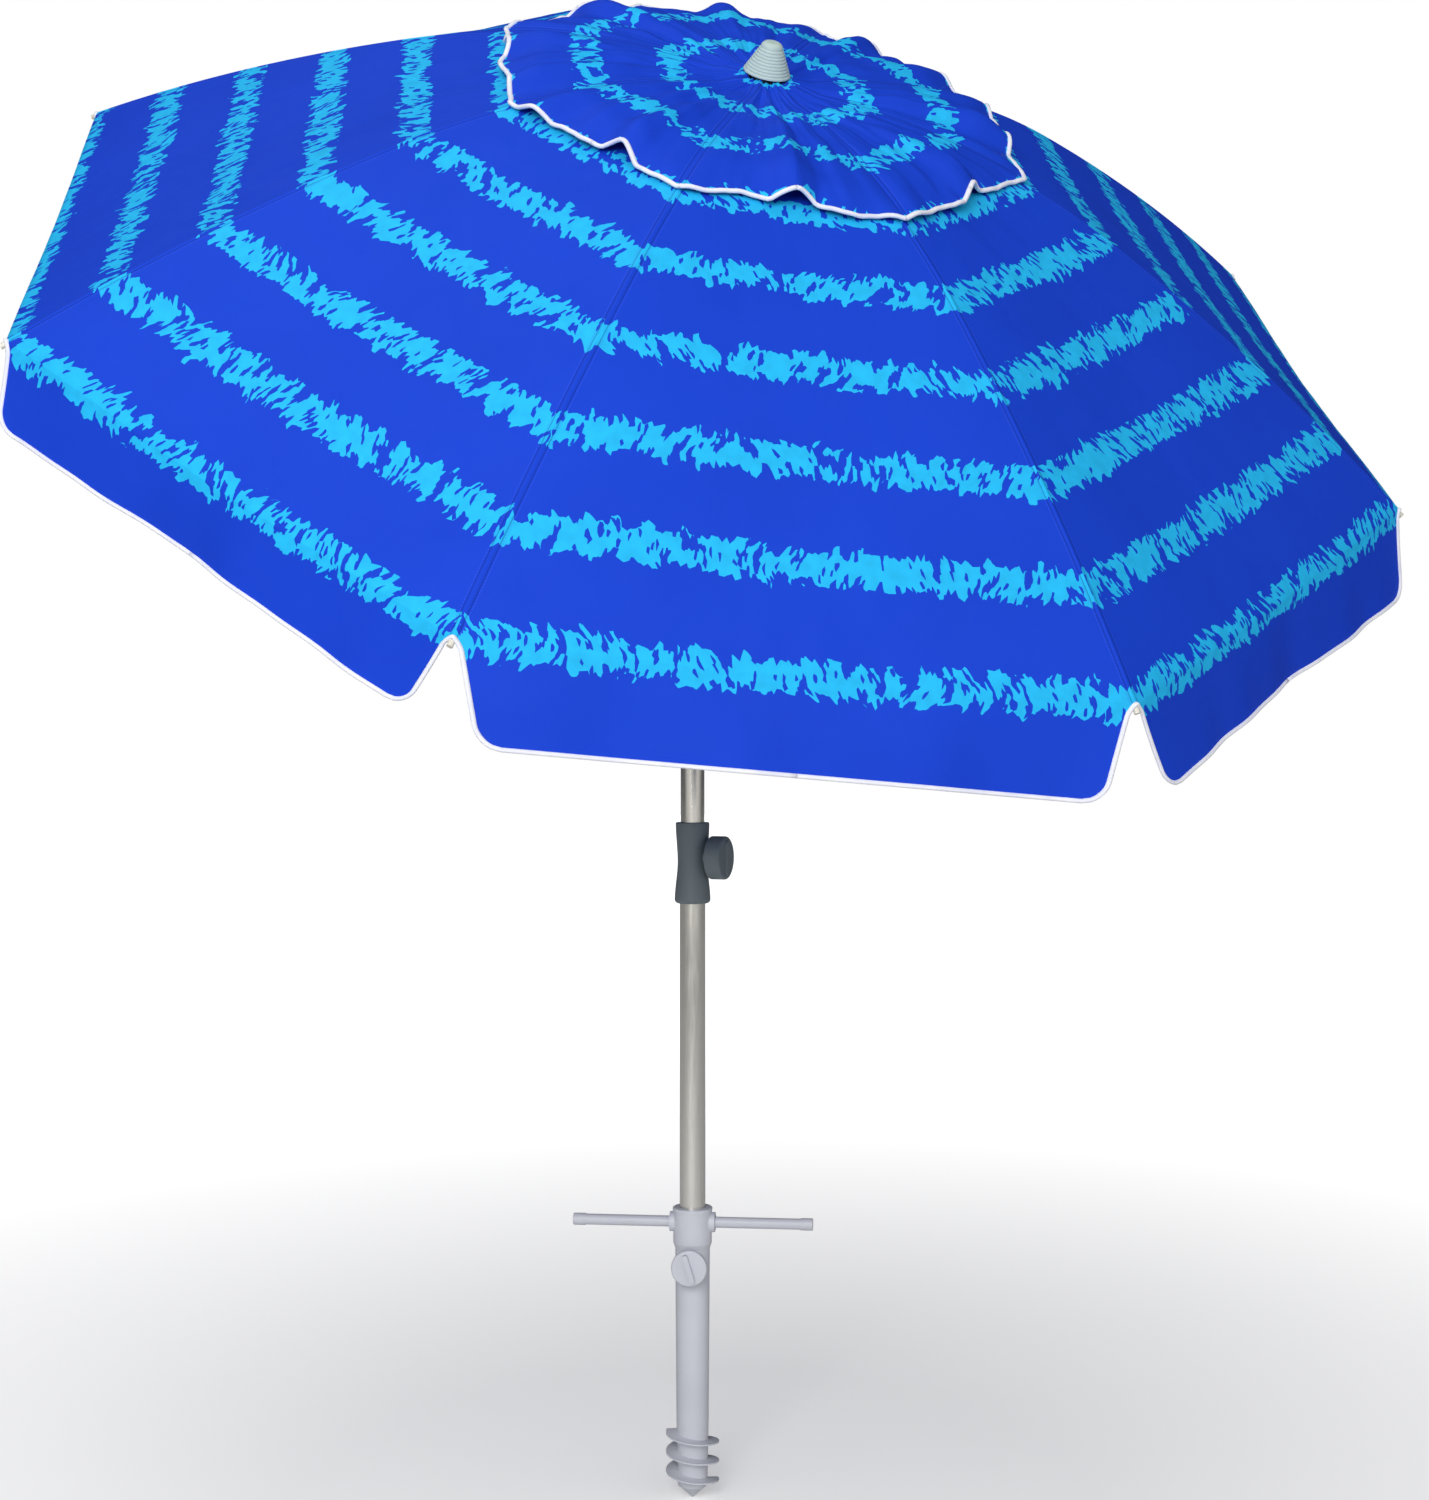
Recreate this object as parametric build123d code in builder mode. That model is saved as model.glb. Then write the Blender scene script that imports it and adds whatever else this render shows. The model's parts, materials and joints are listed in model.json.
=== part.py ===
"""Beach umbrella: an eight-rib vented canopy on a tilting two-part pole in a screw-in sand anchor.

Millimetres. The origin is the point of the anchor's auger, on the pole's axis, and +Z is up.
The canopy leans towards -Y by the tilt angle, about a hinge along X.
Everything above the tilt joint is placed in the canopy plane, whose origin is the tilt hinge and
whose Z runs up the top tube. "h" is a height along that axis and "r" a radius from it.
"""

from build123d import *
from math import asin, atan2, cos, degrees, radians, sin, sqrt
import os

os.makedirs("parts", exist_ok=True)

# ---------------------------------------------------------------- driving dimensions
# pole and tilt
tilt_angle = 38.0
tilt_pivot_z = 1571.0
tube_wall = 1.2
lower_tube_r = 19.0
upper_tube_r = 17.5
top_tube_r = 14.0
slide_gap = 0.3

# sand anchor
anchor_turn = -23.5
socket_floor_z = 150.0
anchor_foot_z = 108.0
anchor_step_z = 370.0
anchor_top_z = 430.0
anchor_foot_r = 23.8
anchor_waist_r = 25.6
anchor_collar_r = 28.6
anchor_lip_r = 29.4
handle_z = 408.0
handle_r = 8.0
handle_reach = 178.5
handle_boss_r = 14.5
anchor_knob_z = 350.0
anchor_knob_r = 26.5
anchor_boss_reach = 33.6
auger_r = 39.4
auger_core_r = 22.0
auger_plug_r = 18.0
auger_pitch = 28.3
auger_low_z = 25.0
auger_high_z = 104.0
point_z = 19.0

# height collar
collar_low_z = 880.0
collar_high_z = 1000.0
collar_knob_z = 948.0
collar_knob_turn = -39.5
collar_knob_r = 32.0
collar_boss_reach = 28.0
collar_waist_z = 938.0
lower_tube_top_z = 965.0

# clamp screws
screw_r = 4.0
screw_gap = 0.05
screw_hole_r = 4.5
clamp_boss_r = 10.5
nut_across = 13.0
nut_thick = 6.5

# tilt joint
cheek_gap = 14.6
cheek_thick = 8.0
cheek_r = 19.0
tongue_r = 17.6
tongue_thick = 14.0
hinge_pin_r = 4.0
button_r = 5.0
button_drop = 36.0

# canopy: eight ribs bent to a flat crown, a tighter arc and a longer arc
rib_count = 8
first_rib = 14.3
canopy_r = 980.0
canopy_tip_h = 216.0
crown_flat_r = 115.0
inner_bend_r = 1023.0
bend_change_r = 500.0
outer_bend_r = 3394.0
fabric_thick = 0.8
hole_r = 190.0
vent_low_r = 34.0
vent_high_r = 365.0
vent_lift = 5.2
vent_rise = 8.0
vent_rise_r = 75.0
flap_drop = 115.0
flap_notch = 7.0
flap_inset = 26.0
flap_corner_r = 24.0
flap_sway = 0.25
gore_gap = 0.15

# frame
rib_r = 2.25
rib_below = 3.7
pivot_r = 28.0
clip_r = 247.0
clip_drop = 7.0
strut_length = 266.0
strut_width = 5.0
strut_height = 8.0
pin_r = 1.5
pin_gap = 0.1
slot_width = 6.4
finial_base_h = 547.5
finial_r = 31.5
finial_high = 41.0

half_angle = 180.0 / rib_count
gore_ratio = cos(radians(half_angle))
gore_half_width = canopy_r * sin(radians(half_angle))
inner_bend_end = asin((bend_change_r - crown_flat_r) / inner_bend_r)
outer_bend_start = bend_change_r - outer_bend_r * sin(inner_bend_end)
tip_slope = asin((canopy_r - outer_bend_start) / outer_bend_r)


def bend_fall(r):
    """How far the canopy's surface has fallen below the crown at radius r along a rib."""
    if r <= crown_flat_r:
        return 0.0
    if r <= bend_change_r:
        return inner_bend_r * (1 - cos(asin((r - crown_flat_r) / inner_bend_r)))
    outer = outer_bend_r * (cos(inner_bend_end) - cos(asin((r - outer_bend_start) / outer_bend_r)))
    return inner_bend_r * (1 - cos(inner_bend_end)) + outer


crown_h = canopy_tip_h + bend_fall(canopy_r)
rib_root_h = crown_h - rib_below


def surface_h(r):
    """Height of the middle of the fabric over a rib."""
    return crown_h - bend_fall(r)


clip_h = surface_h(clip_r) - rib_below - clip_drop
runner_h = clip_h - sqrt(strut_length**2 - (clip_r - pivot_r) ** 2)

canopy = Plane(
    origin=(0, 0, tilt_pivot_z),
    x_dir=(1, 0, 0),
    z_dir=(0, -sin(radians(tilt_angle)), cos(radians(tilt_angle))),
)


def radial(angle):
    """Unit vector square to the canopy's axis. Angle 0 is the low side, and 90 is +X."""
    a = radians(angle - 90)
    return canopy.x_dir * cos(a) + canopy.y_dir * sin(a)


def radial_plane(angle, aside=0.0):
    """Plane through the canopy's axis with x outwards and y up the axis, moved aside along its z."""
    plane = Plane(origin=canopy.origin, x_dir=radial(angle), z_dir=radial(angle).cross(canopy.z_dir))
    return plane.offset(aside)


def save(part, label):
    part.label = label
    export_step(part, f"parts/{label}.step")


def tube(plane, low, high, radius, bore):
    with BuildPart() as pipe:
        with BuildSketch(plane.offset(low)):
            Circle(radius)
            Circle(bore, mode=Mode.SUBTRACT)
        extrude(amount=high - low)
    return pipe.part


# ---------------------------------------------------------------- sand anchor
def aim(angle, height, reach):
    """Plane on a ray at a polar angle: z outwards along the ray, y up."""
    out = Vector(cos(radians(angle)), sin(radians(angle)), 0)
    side = Vector(-sin(radians(angle)), cos(radians(angle)), 0)
    return Plane(origin=out * reach + Vector(0, 0, height), x_dir=side, z_dir=out)


handle_angles = (anchor_turn, anchor_turn + 180)
knob_angle = anchor_turn - 90
socket_r = lower_tube_r + slide_gap
plug_depth = 26.0
handle_spigot_r = 6.0
handle_start = anchor_collar_r + 5.0

with BuildPart() as anchor_body:
    with BuildSketch(Plane.XZ):
        with BuildLine():
            Polyline(
                (0, anchor_foot_z),
                (anchor_foot_r, anchor_foot_z),
                (anchor_waist_r, anchor_step_z),
                (anchor_collar_r, anchor_step_z + 8),
                (anchor_collar_r, anchor_top_z - 5.5),
                (anchor_lip_r, anchor_top_z - 5),
                (anchor_lip_r, anchor_top_z),
                (0, anchor_top_z),
                close=True,
            )
        make_face()
    revolve(axis=Axis.Z)
    fillet(anchor_body.edges().group_by(Axis.Z)[-1], 1.5)
    for angle in handle_angles:
        with BuildSketch(aim(angle, handle_z, anchor_waist_r - 4)):
            Circle(handle_boss_r)
        extrude(amount=handle_start - anchor_waist_r + 4)
    with BuildSketch(aim(knob_angle, anchor_knob_z, anchor_waist_r - 6)):
        Circle(clamp_boss_r)
    extrude(amount=anchor_boss_reach - anchor_waist_r + 6)
    with BuildSketch(Plane.XY.offset(socket_floor_z)):
        Circle(socket_r)
    extrude(amount=anchor_top_z - socket_floor_z, mode=Mode.SUBTRACT)
    with BuildSketch(Plane.XY.offset(anchor_foot_z)):
        Circle(auger_plug_r)
    extrude(amount=plug_depth, mode=Mode.SUBTRACT)
    for angle in handle_angles:
        with BuildSketch(aim(angle, handle_z, handle_start)):
            Circle(handle_spigot_r)
        extrude(amount=-12, mode=Mode.SUBTRACT)
    with BuildSketch(aim(knob_angle, anchor_knob_z, 0)):
        Circle(screw_hole_r)
    extrude(amount=40, mode=Mode.SUBTRACT)
    with BuildSketch(aim(knob_angle, anchor_knob_z, anchor_boss_reach - nut_thick)):
        RegularPolygon(nut_across / 2, 6, major_radius=False)
    extrude(amount=nut_thick, mode=Mode.SUBTRACT)
save(anchor_body.part, "anchor_body")

flight_reach = auger_r - auger_core_r + 2
with BuildPart() as auger:
    with BuildSketch(Plane.XZ):
        with BuildLine():
            Polyline(
                (0, 0),
                (auger_core_r - 0.5, point_z),
                (auger_core_r, point_z + 4),
                (anchor_foot_r, anchor_foot_z),
                (auger_plug_r, anchor_foot_z),
                (auger_plug_r, anchor_foot_z + plug_depth - 1),
                (0, anchor_foot_z + plug_depth - 1),
                close=True,
            )
        make_face()
    revolve(axis=Axis.Z)
    flight = Helix(
        auger_pitch,
        auger_high_z - auger_low_z - 6,
        auger_core_r - 2,
        center=(0, 0, auger_low_z),
        lefthand=True,
        mode=Mode.PRIVATE,
    )
    with BuildSketch(Plane(origin=(auger_core_r - 2, 0, auger_low_z), x_dir=(1, 0, 0), z_dir=(0, -1, 0))):
        with BuildLine():
            Polyline((0, -2), (flight_reach, -1.1), (flight_reach, 1.1), (0, 3), close=True)
        make_face()
    sweep(path=flight, is_frenet=True)
save(auger.part, "auger")

for angle, side in zip(handle_angles, ("right", "left")):
    with BuildPart() as handle:
        with BuildSketch(aim(angle, handle_z, handle_start)):
            Circle(handle_r)
        extrude(amount=handle_reach - handle_start - 4)
        with BuildSketch(aim(angle, handle_z, handle_start - 11.5)):
            Circle(handle_spigot_r)
        extrude(amount=12)
    save(handle.part, f"handle_{side}")

with BuildPart() as handle_caps:
    for angle in handle_angles:
        with BuildSketch(aim(angle, handle_z, handle_reach - 18)):
            Circle(handle_r + 0.9)
        extrude(amount=18)
    fillet(handle_caps.edges().filter_by(GeomType.CIRCLE).group_by(SortBy.DISTANCE)[-1], 1.5)
    for angle in handle_angles:
        with BuildSketch(aim(angle, handle_z, handle_reach - 18)):
            Circle(handle_r)
        extrude(amount=14, mode=Mode.SUBTRACT)
save(handle_caps.part, "handle_caps")


# ---------------------------------------------------------------- clamps: nut, screw and knob
def clamp(name, angle, height, tip, nut_reach, neck, knob_r, knob_thick, wing_high, wing_tilt):
    """A captive nut flush with its boss, a screw from the tube's wall, and a winged knob on a neck."""
    knob_reach = nut_reach + 0.4
    knob_end = knob_reach + neck + knob_thick
    with BuildPart() as nut:
        with BuildSketch(aim(angle, height, nut_reach - nut_thick + 0.1)):
            RegularPolygon(nut_across / 2 - 0.1, 6, major_radius=False)
            Circle(screw_r + screw_gap, mode=Mode.SUBTRACT)
        extrude(amount=nut_thick - 0.2)
    save(nut.part, f"{name}_nut")
    with BuildPart() as screw:
        with BuildSketch(aim(angle, height, tip)):
            Circle(screw_r)
        extrude(amount=knob_end - 5 - tip)
    save(screw.part, f"{name}_screw")
    with BuildPart() as knob:
        with BuildSketch(aim(angle, height, knob_reach)):
            Circle(knob_r * 0.33)
        extrude(amount=neck + 1)
        with BuildSketch(aim(angle, height, knob_reach + neck)):
            Circle(knob_r)
        extrude(amount=knob_thick)
        fillet(knob.edges().filter_by(GeomType.CIRCLE).filter_by(lambda e: e.radius > knob_r - 1), 3)
        with BuildSketch(aim(angle, height, knob_end - 1)):
            with Locations(Rotation(0, 0, wing_tilt)):
                SlotOverall(knob_r * 1.65, knob_r * 0.34)
        extrude(amount=wing_high + 1, taper=8)
        with BuildSketch(aim(angle, height, knob_reach)):
            Circle(screw_r)
        extrude(amount=knob_end - 5 - knob_reach, mode=Mode.SUBTRACT)
    save(knob.part, f"{name}_knob")


clamp("anchor", knob_angle, anchor_knob_z, lower_tube_r + 0.1, anchor_boss_reach,
      4, anchor_knob_r, 11, 6, 107)
clamp("collar", collar_knob_turn, collar_knob_z, upper_tube_r + 0.1, collar_boss_reach,
      1, collar_knob_r, 25, 3.5, 90)

# ---------------------------------------------------------------- lower pole
plug_flange = 3.0
with BuildPart() as lower_tube:
    with BuildSketch(Plane.XY.offset(socket_floor_z + plug_flange)):
        Circle(lower_tube_r)
        Circle(lower_tube_r - tube_wall, mode=Mode.SUBTRACT)
    extrude(amount=lower_tube_top_z - socket_floor_z - plug_flange)
    with BuildSketch(aim(collar_knob_turn, collar_knob_z, 0)):
        Circle(screw_hole_r)
    extrude(amount=30, mode=Mode.SUBTRACT)
save(lower_tube.part, "lower_tube")

with BuildPart() as lower_tube_plug:
    with BuildSketch(Plane.XY.offset(socket_floor_z)):
        Circle(lower_tube_r)
    extrude(amount=plug_flange)
    with BuildSketch(Plane.XY.offset(socket_floor_z + plug_flange)):
        Circle(lower_tube_r - tube_wall)
    extrude(amount=12)
save(lower_tube_plug.part, "lower_tube_plug")

with BuildPart() as height_collar:
    with BuildSketch(Plane.XZ):
        with BuildLine():
            Line((0, collar_low_z), (26.7, collar_low_z))
            Spline(
                (26.7, collar_low_z),
                (22.2, collar_waist_z),
                (25.0, collar_high_z),
                tangents=((0, 1), (0, 1)),
            )
            Polyline((25.0, collar_high_z), (0, collar_high_z), (0, collar_low_z))
        make_face()
    revolve(axis=Axis.Z)
    fillet(height_collar.edges().group_by(Axis.Z)[0], 6)
    fillet(height_collar.edges().group_by(Axis.Z)[-1], 2)
    with BuildSketch(aim(collar_knob_turn, collar_knob_z, 10)):
        Circle(clamp_boss_r)
    extrude(amount=collar_boss_reach - 10)
    with BuildSketch(Plane.XY.offset(collar_low_z)):
        Circle(lower_tube_r)
    extrude(amount=lower_tube_top_z - collar_low_z, mode=Mode.SUBTRACT)
    with BuildSketch(Plane.XY.offset(collar_low_z)):
        Circle(upper_tube_r + slide_gap)
    extrude(amount=collar_high_z - collar_low_z, mode=Mode.SUBTRACT)
    with BuildSketch(aim(collar_knob_turn, collar_knob_z, 0)):
        Circle(screw_hole_r)
    extrude(amount=40, mode=Mode.SUBTRACT)
    with BuildSketch(aim(collar_knob_turn, collar_knob_z, collar_boss_reach - nut_thick)):
        RegularPolygon(nut_across / 2, 6, major_radius=False)
    extrude(amount=nut_thick, mode=Mode.SUBTRACT)
save(height_collar.part, "height_collar")

# ---------------------------------------------------------------- upper pole and tilt joint
guide_z = 600.0
upper_tube_top_z = tilt_pivot_z - 46.0
fork_base_top_z = tilt_pivot_z - 20.0
button_z = tilt_pivot_z - button_drop
save(tube(Plane.XY, guide_z + 4, upper_tube_top_z, upper_tube_r, upper_tube_r - tube_wall), "upper_tube")

with BuildPart() as upper_tube_guide:
    with BuildSketch(Plane.XY.offset(guide_z)):
        Circle(upper_tube_r + slide_gap / 3 + 0.1)
        Circle(9, mode=Mode.SUBTRACT)
    extrude(amount=4)
    with BuildSketch(Plane.XY.offset(guide_z + 4)):
        Circle(upper_tube_r - tube_wall)
        Circle(9, mode=Mode.SUBTRACT)
    extrude(amount=24)
save(upper_tube_guide.part, "upper_tube_guide")

cheek_far = cheek_gap / 2 + cheek_thick
with BuildPart() as tilt_fork:
    with BuildSketch(Plane.XY.offset(upper_tube_top_z - 40)):
        Circle(upper_tube_r - tube_wall)
    extrude(amount=40)
    with BuildSketch(Plane.XY.offset(upper_tube_top_z)):
        Circle(cheek_r + 2)
    extrude(amount=fork_base_top_z - upper_tube_top_z)
    for side in (-1, 1):
        with BuildSketch(Plane.YZ.offset(side * cheek_gap / 2)):
            with Locations((0, tilt_pivot_z)):
                Circle(cheek_r)
            with Locations((0, (tilt_pivot_z + fork_base_top_z - 4) / 2)):
                Rectangle(2 * cheek_r, tilt_pivot_z - fork_base_top_z + 4)
        extrude(amount=side * cheek_thick)
    with BuildSketch(Plane.YZ.offset(-cheek_far)):
        with Locations((0, tilt_pivot_z)):
            Circle(hinge_pin_r)
    extrude(amount=2 * cheek_far, mode=Mode.SUBTRACT)
    with BuildSketch(Plane.XZ.offset(-cheek_r - 4)):
        with Locations((0, button_z)):
            Circle(button_r + 0.3)
    extrude(amount=cheek_r + 10, mode=Mode.SUBTRACT)
save(tilt_fork.part, "tilt_fork")

with BuildPart() as tilt_pin:
    with BuildSketch(Plane.YZ.offset(-cheek_far)):
        with Locations((0, tilt_pivot_z)):
            Circle(hinge_pin_r)
    extrude(amount=2 * cheek_far)
    for side in (-1, 1):
        with BuildSketch(Plane.YZ.offset(side * cheek_far)):
            with Locations((0, tilt_pivot_z)):
                Circle(hinge_pin_r + 2.5)
        extrude(amount=side * 2.5, taper=30)
save(tilt_pin.part, "tilt_pin")

with BuildPart() as tilt_button:
    with BuildSketch(Plane.XZ.offset(-7)):
        with Locations((0, button_z)):
            Circle(button_r)
    extrude(amount=-(cheek_r + 1))
    fillet(tilt_button.edges().filter_by(GeomType.CIRCLE).sort_by(Axis.Y)[-1], 2)
save(tilt_button.part, "tilt_button")

spring_wire = 0.8
with BuildPart() as tilt_spring:
    button_plane = Plane(origin=(0, -4.4, button_z), x_dir=(1, 0, 0), z_dir=(0, 1, 0))
    coil = button_plane * Helix(2.6, 10.4, button_r - 1.4, mode=Mode.PRIVATE)
    with BuildSketch(Plane(origin=coil @ 0, z_dir=coil % 0)):
        Circle(spring_wire / 2)
    sweep(path=coil, is_frenet=True)
save(tilt_spring.part, "tilt_spring")

# ---------------------------------------------------------------- tongue, top tube, hub and finial
top_tube_low_h = 25.0
top_tube_high_h = 512.0
tongue_side = Plane(origin=canopy.origin, x_dir=canopy.y_dir, z_dir=canopy.x_dir)
with BuildPart() as tilt_tongue:
    with BuildSketch(tongue_side.offset(-tongue_thick / 2)):
        Circle(tongue_r)
        with Locations((0, top_tube_low_h / 2)):
            Rectangle(2 * tongue_r - 6, top_tube_low_h)
        Circle(hinge_pin_r + 0.1, mode=Mode.SUBTRACT)
    extrude(amount=tongue_thick)
    with BuildSketch(canopy.offset(top_tube_low_h - 4)):
        Circle(top_tube_r + 1)
    extrude(amount=4)
    with BuildSketch(canopy.offset(top_tube_low_h)):
        Circle(top_tube_r - tube_wall)
    extrude(amount=38)
save(tilt_tongue.part, "tilt_tongue")

save(tube(canopy, top_tube_low_h, top_tube_high_h, top_tube_r, top_tube_r - tube_wall), "top_tube")

hub_r = 38.0
hub_skirt_h = 494.0
hub_flange_h = crown_h - 16.0
hub_top_h = finial_base_h - 2.4
with BuildPart() as crown_hub:
    with BuildSketch(canopy.offset(hub_skirt_h)):
        Circle(top_tube_r + 4)
    extrude(amount=hub_flange_h - hub_skirt_h)
    with BuildSketch(canopy.offset(hub_flange_h)):
        Circle(hub_r)
    extrude(amount=rib_root_h + 4 - hub_flange_h)
    with BuildSketch(canopy.offset(rib_root_h + 4)):
        Circle(top_tube_r + 4)
    extrude(amount=hub_top_h - rib_root_h - 4)
    with BuildSketch(canopy.offset(hub_skirt_h)):
        Circle(top_tube_r)
    extrude(amount=top_tube_high_h - hub_skirt_h, mode=Mode.SUBTRACT)
    with BuildSketch(canopy.offset(hub_flange_h - 1)):
        for i in range(rib_count):
            with Locations(Rotation(0, 0, first_rib + i * 2 * half_angle - 90)):
                with Locations((hub_r - 1, 0)):
                    Rectangle(2 * (hub_r - 1 - 22.0), slot_width + 1)
    extrude(amount=30, mode=Mode.SUBTRACT)
    for i in range(rib_count):
        with BuildSketch(radial_plane(first_rib + i * 2 * half_angle, -8)):
            with Locations((pivot_r, rib_root_h)):
                Circle(pin_r)
        extrude(amount=16, mode=Mode.SUBTRACT)
    with BuildSketch(canopy.offset(hub_top_h)):
        Circle(4)
    extrude(amount=-18, mode=Mode.SUBTRACT)
save(crown_hub.part, "crown_hub")

with BuildPart() as crown_pins:
    for i in range(rib_count):
        with BuildSketch(radial_plane(first_rib + i * 2 * half_angle, -7)):
            with Locations((pivot_r, rib_root_h)):
                Circle(pin_r)
        extrude(amount=14)
save(crown_pins.part, "crown_pins")

ring_count = 9
finial_top_r = 15.0
finial_top_h = finial_base_h + finial_high
ring_high = (finial_high - 8) / ring_count
ring_taper = (finial_r - finial_top_r) / ring_count
with BuildPart() as finial:
    with BuildSketch(Plane(origin=canopy.origin, x_dir=canopy.x_dir, z_dir=-canopy.y_dir)):
        with BuildLine():
            Polyline((0, hub_top_h), (top_tube_r + 4, hub_top_h), (top_tube_r + 4, finial_base_h),
                     (finial_r, finial_base_h))
            for ring in range(ring_count):
                low = Vector(finial_r - ring * ring_taper, finial_base_h + ring * ring_high)
                high = low + Vector(-ring_taper, ring_high)
                ThreePointArc(low, (low + high) / 2 + Vector(0.9, 0), high)
            ThreePointArc((finial_top_r, finial_top_h - 8), (12.6, finial_top_h - 2.4), (7, finial_top_h))
            Polyline((7, finial_top_h), (0, finial_top_h), (0, hub_top_h))
        make_face()
    revolve(axis=Axis(canopy.origin, canopy.z_dir))
    with BuildSketch(canopy.offset(hub_top_h)):
        Circle(4)
    extrude(amount=-16)
save(finial.part, "finial")

# ---------------------------------------------------------------- runner
runner_low_h = runner_h - 14.0
runner_flange_h = 14.0
runner_high_h = runner_h + 58.0
with BuildPart() as runner:
    with BuildSketch(canopy.offset(runner_low_h)):
        Circle(hub_r)
    extrude(amount=2 * runner_flange_h)
    with BuildSketch(canopy.offset(runner_h)):
        Circle(top_tube_r + 5)
    extrude(amount=runner_high_h - runner_h)
    with BuildSketch(canopy.offset(runner_high_h - 10)):
        Circle(top_tube_r + 8)
    extrude(amount=10)
    fillet(runner.edges().filter_by(GeomType.CIRCLE).sort_by(SortBy.RADIUS)[-2:], 2)
    with BuildSketch(canopy.offset(runner_low_h - 1)):
        Circle(top_tube_r + slide_gap)
    extrude(amount=runner_high_h - runner_low_h + 2, mode=Mode.SUBTRACT)
    with BuildSketch(canopy.offset(runner_low_h - 1)):
        for i in range(rib_count):
            with Locations(Rotation(0, 0, first_rib + i * 2 * half_angle - 90)):
                with Locations((hub_r - 1, 0)):
                    Rectangle(2 * (hub_r - 1 - 21.0), slot_width + 1)
    extrude(amount=2 * runner_flange_h + 2, mode=Mode.SUBTRACT)
save(runner.part, "runner")

# ---------------------------------------------------------------- ribs, their fittings and struts
def rib_point(r):
    return (r, surface_h(r) - rib_below)


for i in range(rib_count):
    angle = first_rib + i * 2 * half_angle
    plane = radial_plane(angle)
    with BuildPart() as rib:
        with BuildLine(plane) as wire:
            Line((pivot_r + 6, rib_root_h), (crown_flat_r, rib_root_h))
            ThreePointArc((crown_flat_r, rib_root_h), rib_point(310), rib_point(bend_change_r))
            ThreePointArc(rib_point(bend_change_r), rib_point(740), rib_point(canopy_r - 6))
        with BuildSketch(Plane(origin=wire.line @ 0, z_dir=wire.line % 0)):
            Circle(rib_r)
        sweep(path=wire.line)
    save(rib.part, f"rib_{i + 1}")

    with BuildPart() as fittings:
        # root eye, turning on the crown pin
        with BuildSketch(plane.offset(-slot_width / 2)):
            with Locations((pivot_r, rib_root_h)):
                Circle(4)
            with Locations((pivot_r + 7, rib_root_h)):
                Rectangle(14, 7)
            with Locations((pivot_r, rib_root_h)):
                Circle(pin_r + pin_gap, mode=Mode.SUBTRACT)
        extrude(amount=slot_width)
        root_end = plane.from_local_coords((pivot_r + 6, rib_root_h, 0))
        with BuildSketch(Plane(origin=root_end, z_dir=plane.x_dir)):
            Circle(rib_r)
        extrude(amount=20, mode=Mode.SUBTRACT)
        # strut clip: two ears under the rib and the pin between them
        for side in (-1, 1):
            with BuildSketch(plane.offset(side * (strut_width / 2 + 0.4))):
                with Locations((clip_r, clip_h)):
                    Circle(4)
                with Locations((clip_r, clip_h + clip_drop / 2)):
                    Rectangle(14, clip_drop)
            extrude(amount=side * 1.6)
        with BuildSketch(plane.offset(-strut_width / 2 - 1)):
            with Locations((clip_r, clip_h)):
                Circle(pin_r)
        extrude(amount=strut_width + 2)
        # tip bead
        bead_start = plane.from_local_coords((*rib_point(canopy_r - 16), 0))
        rib_run = plane.x_dir * cos(tip_slope) - plane.y_dir * sin(tip_slope)
        bead = Plane(origin=bead_start, z_dir=rib_run)
        with BuildSketch(bead.offset(8)):
            Circle(3.6)
        extrude(amount=18)
        with BuildSketch(bead.offset(8)):
            Circle(rib_r)
        extrude(amount=4.2, mode=Mode.SUBTRACT)
    save(fittings.part, f"rib_fittings_{i + 1}")

    with BuildPart() as strut:
        inward = Vector(pivot_r - clip_r, runner_h - clip_h).normalized()
        across = degrees(atan2(inward.Y, inward.X))
        middle = ((clip_r + pivot_r) / 2, (clip_h + runner_h) / 2)
        with BuildSketch(plane.offset(-strut_width / 2)):
            with Locations(Location(middle, across)):
                SlotCenterToCenter(strut_length, strut_height)
            with Locations((clip_r, clip_h)):
                Circle(pin_r + pin_gap, mode=Mode.SUBTRACT)
            with Locations((pivot_r, runner_h)):
                Circle(pin_r + pin_gap, mode=Mode.SUBTRACT)
        extrude(amount=strut_width)
    save(strut.part, f"strut_{i + 1}")


# ---------------------------------------------------------------- canopy
def band(low_r, high_r, lift):
    """Outline of a strip of fabric in the plane through the middle of a gore."""
    def point(r, drop=0.0):
        rise = vent_rise * max(0.0, vent_rise_r - r) / (vent_rise_r - vent_low_r)
        return (r * gore_ratio, surface_h(r) + lift + rise - drop)

    for drop in (0.0, fabric_thick):
        start = low_r
        if low_r < crown_flat_r:
            Line(point(low_r, drop), point(vent_rise_r, drop))
            Line(point(vent_rise_r, drop), point(crown_flat_r, drop))
            start = crown_flat_r
        middle = min(high_r, bend_change_r)
        ThreePointArc(point(start, drop), point((start + middle) / 2, drop), point(middle, drop))
        if high_r > bend_change_r:
            ThreePointArc(point(middle, drop), point((middle + high_r) / 2, drop), point(high_r, drop))
    for r in (low_r, high_r):
        Line(point(r), point(r, fabric_thick))


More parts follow.
